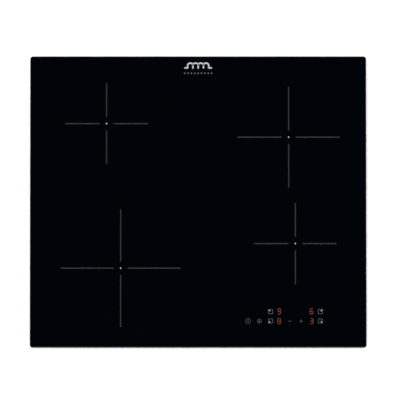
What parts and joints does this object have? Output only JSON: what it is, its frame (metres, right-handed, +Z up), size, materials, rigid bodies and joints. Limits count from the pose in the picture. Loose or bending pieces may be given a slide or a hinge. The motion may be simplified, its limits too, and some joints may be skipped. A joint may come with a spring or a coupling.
{
  "type": "built-in induction hob",
  "caption": "Flat black glass induction hob for a worktop cut-out, with printed zone crosses, touch controls, coils on sprung decks and a terminal box behind a hinged lid.",
  "frame": {"origin": "middle of the hob, level with the casing's underside", "axes": "+X to the right of the cook, +Y to the rear of the worktop, +Z up through the glass"},
  "size_m": [0.59, 0.52, 0.044],
  "materials": {
    "black_glass": "glossy",
    "foam": "matte",
    "black_steel": "satin",
    "zinc_steel": "galvanised",
    "label": "satin",
    "aluminium": "satin",
    "black_plastic": "matte",
    "grey_plastic": "matte",
    "copper": "enamelled",
    "mica": "matte",
    "silicone": "matte",
    "spring_steel": "bright",
    "circuit_board": "satin",
    "cable": "satin",
    "ivory_plastic": "matte"
  },
  "bodies": {
    "hob_casing": {"glass_plate": "black_glass", "foam_seal": "foam", "support_frame": "black_steel", "bottom_casing": "zinc_steel", "rating_plate": "label", "casing_screw_front_left": "zinc_steel", "casing_screw_front_right": "zinc_steel", "casing_screw_rear_left": "zinc_steel", "casing_screw_rear_right": "zinc_steel", "power_tray_left": "black_plastic", "power_board_left": "circuit_board", "heat_sink_left": "aluminium", "blower_housing_left": "black_plastic", "blower_stator_left": "copper", "power_tray_right": "black_plastic", "power_board_right": "circuit_board", "heat_sink_right": "aluminium", "blower_housing_right": "black_plastic", "blower_stator_right": "copper", "filter_board": "circuit_board", "filter_choke": "copper", "control_housing": "grey_plastic", "control_board": "circuit_board", "display_ribbon_cable": "cable", "terminal_box": "ivory_plastic", "terminal_block": "grey_plastic", "cable_clamp": "grey_plastic", "deck_spring_left_front_left": "spring_steel", "deck_spring_left_front_right": "spring_steel", "deck_spring_left_rear_left": "spring_steel", "deck_spring_left_rear_right": "spring_steel", "deck_spring_right_front_left": "spring_steel", "deck_spring_right_front_right": "spring_steel", "deck_spring_right_rear_left": "spring_steel", "deck_spring_right_rear_right": "spring_steel"},
    "coil_deck_left": {"coil_deck_left": "aluminium", "coil_former_front_left": "black_plastic", "coil_winding_front_left": "copper", "mica_disc_front_left": "mica", "temperature_sensor_front_left": "silicone", "coil_former_rear_left": "black_plastic", "coil_winding_rear_left": "copper", "mica_disc_rear_left": "mica", "temperature_sensor_rear_left": "silicone"},
    "coil_deck_right": {"coil_deck_right": "aluminium", "coil_former_front_right": "black_plastic", "coil_winding_front_right": "copper", "mica_disc_front_right": "mica", "temperature_sensor_front_right": "silicone", "coil_former_rear_right": "black_plastic", "coil_winding_rear_right": "copper", "mica_disc_rear_right": "mica", "temperature_sensor_rear_right": "silicone"},
    "blower_rotor_left": {"blower_rotor_left": "black_plastic"},
    "blower_rotor_right": {"blower_rotor_right": "black_plastic"},
    "terminal_lid": {"terminal_lid": "ivory_plastic"},
    "fixing_spring_left_front": {"fixing_spring_left_front": "spring_steel"},
    "fixing_spring_left_rear": {"fixing_spring_left_rear": "spring_steel"},
    "fixing_spring_right_front": {"fixing_spring_right_front": "spring_steel"},
    "fixing_spring_right_rear": {"fixing_spring_right_rear": "spring_steel"}
  },
  "joints": [
    {"name": "blower_left_spin", "type": "hinge", "parent": "hob_casing", "child": "blower_rotor_left", "pos_m": [-0.16, 0.15, 0.0125], "axis": [0, 0, 1], "continuous": true},
    {"name": "blower_right_spin", "type": "hinge", "parent": "hob_casing", "child": "blower_rotor_right", "pos_m": [0.154, 0.14, 0.0125], "axis": [0, 0, 1], "continuous": true},
    {"name": "coil_deck_left_float", "type": "slide", "parent": "hob_casing", "child": "coil_deck_left", "axis": [0, 0, 1], "range_m": [-0.0025, 0], "stiffness_N_per_m": 6000, "springref_m": 0.006, "deforming": ["deck_spring_left_front_left", "deck_spring_left_front_right", "deck_spring_left_rear_left", "deck_spring_left_rear_right"]},
    {"name": "coil_deck_right_float", "type": "slide", "parent": "hob_casing", "child": "coil_deck_right", "axis": [0, 0, 1], "range_m": [-0.0025, 0], "stiffness_N_per_m": 6000, "springref_m": 0.006, "deforming": ["deck_spring_right_front_left", "deck_spring_right_front_right", "deck_spring_right_rear_left", "deck_spring_right_rear_right"]},
    {"name": "terminal_lid_hinge", "type": "hinge", "parent": "hob_casing", "child": "terminal_lid", "pos_m": [0.19, 0.24, 0.0274], "axis": [1, 0, 0], "range_deg": [0, 90]},
    {"name": "fixing_spring_left_front_flex", "type": "hinge", "parent": "hob_casing", "child": "fixing_spring_left_front", "pos_m": [-0.2725, -0.13, 0.0075], "axis": [0, 1, 0], "range_deg": [0, 14], "stiffness_Nm_per_rad": 1.6},
    {"name": "fixing_spring_left_rear_flex", "type": "hinge", "parent": "hob_casing", "child": "fixing_spring_left_rear", "pos_m": [-0.2725, 0.13, 0.0075], "axis": [0, 1, 0], "range_deg": [0, 14], "stiffness_Nm_per_rad": 1.6},
    {"name": "fixing_spring_right_front_flex", "type": "hinge", "parent": "hob_casing", "child": "fixing_spring_right_front", "pos_m": [0.2725, -0.13, 0.0075], "axis": [0, -1, 0], "range_deg": [0, 14], "stiffness_Nm_per_rad": 1.6},
    {"name": "fixing_spring_right_rear_flex", "type": "hinge", "parent": "hob_casing", "child": "fixing_spring_right_rear", "pos_m": [0.2725, 0.13, 0.0075], "axis": [0, -1, 0], "range_deg": [0, 14], "stiffness_Nm_per_rad": 1.6}
  ]
}
